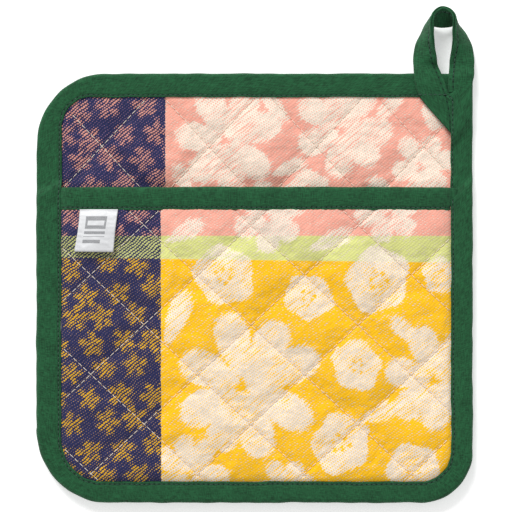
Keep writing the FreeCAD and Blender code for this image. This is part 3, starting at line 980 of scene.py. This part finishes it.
def outline(box, corners, side_parts, corner_parts):
    """Points round a rounded rectangle from the foot's left end, anticlockwise: each side and each
    corner in the same number of parts whatever its length, so two outlines match point for point."""
    points = []
    spots = [(box[0], box[1], math.pi), (box[2], box[1], 1.5 * math.pi),
             (box[2], box[3], 0), (box[0], box[3], 0.5 * math.pi)]
    for k in range(4):
        x, y, start = spots[k]
        r = corners[k]
        middle = np.array([x + (r if k in (0, 3) else -r), y + (r if k in (0, 1) else -r)])
        turn = start + np.linspace(0, math.pi / 2, corner_parts + 1)
        points.append(middle + r * np.stack([np.cos(turn), np.sin(turn)], -1))
    path = []
    for k in range(4):
        path.append(points[k])
        share = np.linspace(0, 1, side_parts[k] + 1)[1:-1, None]
        path.append(points[k][-1] + (points[(k + 1) % 4][0] - points[k][-1]) * share)
    return np.concatenate(path)


SIDE_PARTS = (118, 140, 140, 122)
outer = outline(EDGE, EDGE_CORNERS, SIDE_PARTS, 36)
inner = outline(WINDOW, WINDOW_CORNERS, SIDE_PARTS, 36)
place, inner_place = gone_round(outer), gone_round(inner)


def ring_height(point):
    """The tape's thickness round the pad: 7 mm below the pocket's mouth, 4.6 mm above it, and 7 mm
    again at the right where the loop's end is tucked under it."""
    x, y = point[:, 0], point[:, 1]
    tucked = smooth((y - 68) / 8) * smooth((x - 92) / 4)
    return 4.6 + 2.4 * np.maximum(smooth((MOUTH + 2.4 - y) / 4.8), tucked)


high = ring_height((outer + inner) / 2)
wide = np.linalg.norm(outer - inner, axis=1)
out = unit(outer - inner)
FOLD, TAPE_THICK = 2.6, 0.6

# Its section at each point of the way round: how far outward from the tape's inner edge, and how high
# over the middle. The upper side dips at the stitch row, then come the fold and the lower side.
flat = np.array([0, 0.1, 0.4, 0.85, 1.3, 1.75, 2.5, 4.0, 5.8, 7.4])
dip = np.array([-0.7, -0.2, -0.02, -0.08, -0.3, -0.1, 0.0, 0.05, 0.0, -0.08])
reach = (wide - FOLD)[:, None]
over = np.where(flat > 2, 2 + (flat - 2) * (reach - 2) / 5.4, flat)
turn = np.linspace(math.pi / 2, -math.pi / 2, 13)[1:-1]
curve = reach + FOLD * np.abs(np.cos(turn)) ** 0.85
curve_z = np.sign(np.sin(turn)) * np.abs(np.sin(turn)) ** 0.9
rest = (high / 2)[:, None]
pucker = 0.10 * np.sin(place[:-1] * math.tau / TAPE_PITCH)[:, None] * np.exp(-(flat - ROW_IN) ** 2)
turned = np.linalg.norm(np.roll(out, -3, axis=0) - np.roll(out, 3, axis=0), axis=1)
pleats = smooth(turned / 0.2)[:, None] * np.sin(place[:-1, None] * math.tau / 5.5 + 0.9 * flat)
top_z = rest + dip + pucker + 0.2 * pleats * np.clip(flat / 4, 0, 1)
top_z = top_z + waver(place[:-1], 33, 0.12)[:, None] * np.clip(flat / 5, 0, 1)
low_z = np.maximum(-(rest + dip + pucker), -rest + 0.02)
outward = np.concatenate([over, curve, over[:, ::-1]], axis=1)
z = np.concatenate([top_z, curve_z * rest, low_z[:, ::-1]], axis=1)

# The tape's inner side, one thickness in, goes back the same way. Both seams then waver a little.
lining = np.maximum(outward - TAPE_THICK * smooth((outward - reach + 1.5) / 2), 0.08)
lining_z = np.sign(z) * np.maximum(np.abs(z) - TAPE_THICK, 0.05)
outward = np.concatenate([outward, lining[:, -2:0:-1]], axis=1)
z = np.concatenate([z, lining_z[:, -2:0:-1]], axis=1)
share = np.clip(outward / wide[:, None], 0, 1)
outward = outward + waver(place[:-1], 31, 0.25)[:, None] * (1 - share)
outward = outward + waver(place[:-1], 32, 0.2)[:, None] * share
spot = inner[:, None] + out[:, None] * outward[..., None]
rings = np.concatenate([spot, (rest + z)[..., None]], -1)[None]
around = gone_round(np.stack([outward[0], z[0]], -1))
edge_green = cotton_tape("green_edge_tape", GREEN, (around[4], around[26]))
edge_tape = skin("edge_tape", rings, inner_place, around, edge_green, closed=True)
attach(edge_tape, "pad")
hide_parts("edge_binding")


def ring_row(side):
    """The tape's topstitches, just in from its inner edge, on one face."""
    inset = ROW_IN + waver(place[:-1], 31, 0.25) * 0.88
    level = high / 2 + side * (high / 2 - 0.28) if side > 0 else np.full(high.shape, 0.16)
    line = np.column_stack([inner + out * inset[:, None], level])
    ends = []
    for shift in (-0.8, 0.8):
        at = np.mod(np.arange(0, inner_place[-1] - 1.5, TAPE_PITCH) + shift, inner_place[-1])
        ends.append(np.stack([np.interp(at, inner_place, np.append(way, way[0])) for way in line.T], -1))
    return *ends, upright(side, len(ends[0]))


edge_stitches = stitches("edge_tape_stitches", *both_faces(ring_row), 0.19, 0.2, 0.06, green_thread)
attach(edge_stitches, "pad")
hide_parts("edge_binding_stitching")


# ---- The hanging loop ----
# The tape's own end, folded and stitched shut, turned over into a loop at the top right corner. Its
# end comes back over the pad's edging, is cut aslant, and is tucked under the tape at the side.

CORNER = np.array([ring_high[0], ring_high[1]])
STATIONS = np.array([
    (-21.9, 2.8, 4.8, 0, 0), (-22.5, 6.8, 5.4, 0, 27), (-22.6, 13.2, 5.6, 0, 49),
    (-21.2, 19.9, 6.1, 5, 73), (-20.1, 24.2, 6.2, 50, 80), (-18.5, 25.4, 6.2, 78, 60),
    (-14.5, 25.8, 6.1, 90, 41), (-10.4, 25.4, 6.1, 102, 55), (-8.6, 24.5, 6.2, 130, 79),
    (-7.7, 22.0, 6.1, 175, 73), (-5.9, 17.3, 5.6, 180, 52), (-4.9, 12.6, 5.2, 180, 35),
    (-5.0, 6.8, 4.9, 180, 8), (-5.2, 2.8, 5.0, 180, 0)])
heading, climb = np.radians(STATIONS[:, 3]), np.radians(STATIONS[:, 4])
lean = np.stack([np.cos(heading) * np.cos(climb), np.sin(heading) * np.cos(climb), np.sin(climb)], -1)
spine = np.column_stack([STATIONS[:, :2] + CORNER, STATIONS[:, 2]])
tail_far = [(78.2, 87.0, 5.3), (76.2, 90.0, 5.5), (75.1, 93.0, 5.7), (74.3, 97.5, 5.8)]
tail_near = [(92.6, 70.6, 5.3), (92.4, 79.0, 5.4), (91.2, 87.0, 5.5), (88.2, 96.5, 5.7)]
leg_far = [(102.2, 99.0, 6.0), (101.5, 95.5, 6.0), (101.2, 91.0, 5.6)]
leg_near = [(90.3, 99.0, 6.1), (90.0, 95.5, 6.2), (90.2, 91.0, 5.8)]
far = np.concatenate([tail_far, spine - 5.8 * lean, leg_far])
near = np.concatenate([tail_near, spine + 5.8 * lean, leg_near])


def through(points, parts):
    """A smooth curve through given points: between each two, the cubic whose slopes are half the way
    from the point before to the point after."""
    ghost = np.vstack([2 * points[0] - points[1], points, 2 * points[-1] - points[-2]])
    t = np.linspace(0, 1, parts, endpoint=False)[:, None, None]
    a, b, c, d = ghost[:-3], ghost[1:-2], ghost[2:-1], ghost[3:]
    curve = 0.5 * (2 * b + (c - a) * t + (2 * a - 5 * b + 4 * c - d) * t ** 2
                   + (3 * b - a - 3 * c + d) * t ** 3)
    return np.vstack([curve.transpose(1, 0, 2).reshape(-1, 3), points[-1]])


far, near = through(far, 9), through(near, 9)
spine = (far + near) / 2
loop_wide = np.linalg.norm(near - far, axis=1)
lean = unit(near - far)
face = unit(np.cross(lean, unit(np.gradient(spine, axis=0))))
length = np.concatenate([[0], np.cumsum(np.linalg.norm(np.diff(spine, axis=0), axis=1))])
flat = np.array([0, 0.1, 0.3, 0.55, 1.2, 1.7, 2.2, 2.8, 4.5, 6.5, 8.5])
rise = np.array([0.55, 0.88, 1.0, 0.97, 0.95, 0.9, 0.74, 0.94, 1.06, 1.1, 1.06])
turn = np.linspace(math.pi / 2, -math.pi / 2, 9)
slit = np.array([0.05, 0.3, 2.2, 6.0, 10.2])
inset = np.concatenate([flat, 10.4 + 1.2 * np.cos(turn), flat[::-1], slit, [10.8], slit[::-1]])
lift = np.concatenate([rise, np.sin(turn), -rise[::-1], [-0.3, -0.12, -0.04, -0.1, -0.2], [0],
                       [0.2, 0.1, 0.04, 0.12, 0.3]])
stretch = np.where(inset > 3, 3 + (inset - 3) * (loop_wide[:, None] - 3) / 8.6, inset)
sag = 1 + 0.08 * np.sin(length * 0.9)[:, None]
rings = near[:, None] - lean[:, None] * stretch[..., None] + face[:, None] * (lift * sag)[..., None]
around = gone_round(np.stack([inset, lift], -1))
loop_green = cotton_tape("green_loop_tape", GREEN, (around[6], around[24]))
SEWN_FROM = 30
loop_place = np.append(length, length[-1] + 1) - SEWN_FROM
loop = skin("hanging_loop_tape", rings[None], loop_place, around, loop_green)
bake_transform(loop, "pad", "loop", start=(0.087, 0.0985, 0.0048), end=(0.087, 0.1065, 0.0048))
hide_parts("hanging_loop", "loop_tail")


def loop_row(side):
    """The stitches that close the folded tape, 2.1 mm in from its open edges, on one face."""
    line = near - lean * 2.1 + face * side * 0.8
    at = np.arange(SEWN_FROM, length[-1] - 4, TAPE_PITCH)
    ends = [np.stack([np.interp(at + shift, length, way) for way in line.T], -1) for shift in (-0.8, 0.8)]
    up = np.stack([np.interp(at, length, way) for way in face.T], -1) * side
    return *ends, unit(up)


loop_stitches = stitches("hanging_loop_stitches", *both_faces(loop_row), 0.19, 0.22, 0.06, green_thread)
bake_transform(loop_stitches, "pad", "loop", start=(0.087, 0.0985, 0.0048), end=(0.087, 0.1065, 0.0048))
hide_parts("loop_stitching")

x = np.arange(77.0, 89.6, TAPE_PITCH)
seam_line = np.column_stack([x, np.full(x.shape, 89.9), np.full(x.shape, 6.55)])
tail_stitches = stitches("loop_tail_stitches", seam_line - (0.8, 0, 0), seam_line + (0.8, 0.1, 0),
                         upright(1, len(x)), 0.2, 0.22, 0.04, green_thread)
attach(tail_stitches, "pad")
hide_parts("loop_tail_stitching")


# ---- The table, the light and the camera ----
# A plain white light table under the pad, glowing a little so the shadows stay faint. A broad lamp
# stands beyond its top edge, a weaker one opposite, and the rest is even light. The camera looks down.

TABLE_Z = -0.0003
table_mesh = bpy.data.meshes.new("table")
table_mesh.from_pydata([(-3, -3, TABLE_Z), (3, -3, TABLE_Z), (3, 3, TABLE_Z), (-3, 3, TABLE_Z)], [],
                       [(0, 1, 2, 3)])
table = put("table", table_mesh)
board, tree, shader = finish("pale_board")
mottle = noise(add(tree, "TexCoord", out=3), 3.0, 2.0, 0.5, "3D")
fill(tree, shader, Base_Color=blend_colours(tree, mottle, (0.94, 0.94, 0.94, 1), (0.97, 0.97, 0.97, 1)),
     Roughness=0.9, Emission_Color=(1, 1, 1, 1), Emission_Strength=0.32)
table_mesh.materials.append(board)

for name, place, power, size in (("key", (-1.2, 3.0, 2.2), 150.0, 1.5),
                                 ("fill", (2.0, -1.6, 2.6), 22.0, 2.4)):
    lamp = bpy.data.lights.new(name, "AREA")
    lamp.energy, lamp.size = power, size
    holder = put(name, lamp)
    holder.location = place
    holder.rotation_euler = (-holder.location).to_track_quat("-Z", "Y").to_euler()
sky = bpy.data.worlds.new("room")
sky.use_nodes = True
fill(sky.node_tree, sky.node_tree.nodes["Background"], Color=(1, 1, 1, 1), Strength=0.5)
bpy.context.scene.world = sky
bpy.context.scene.view_settings.view_transform = "Standard"

lens = bpy.data.cameras.new("camera")
lens.lens, lens.sensor_width = 135, 36
camera = put("camera", lens)
camera.location = (0.0007, 0.0149, 0.007 + 0.2378 * 135 / 36)
bpy.context.scene.camera = camera
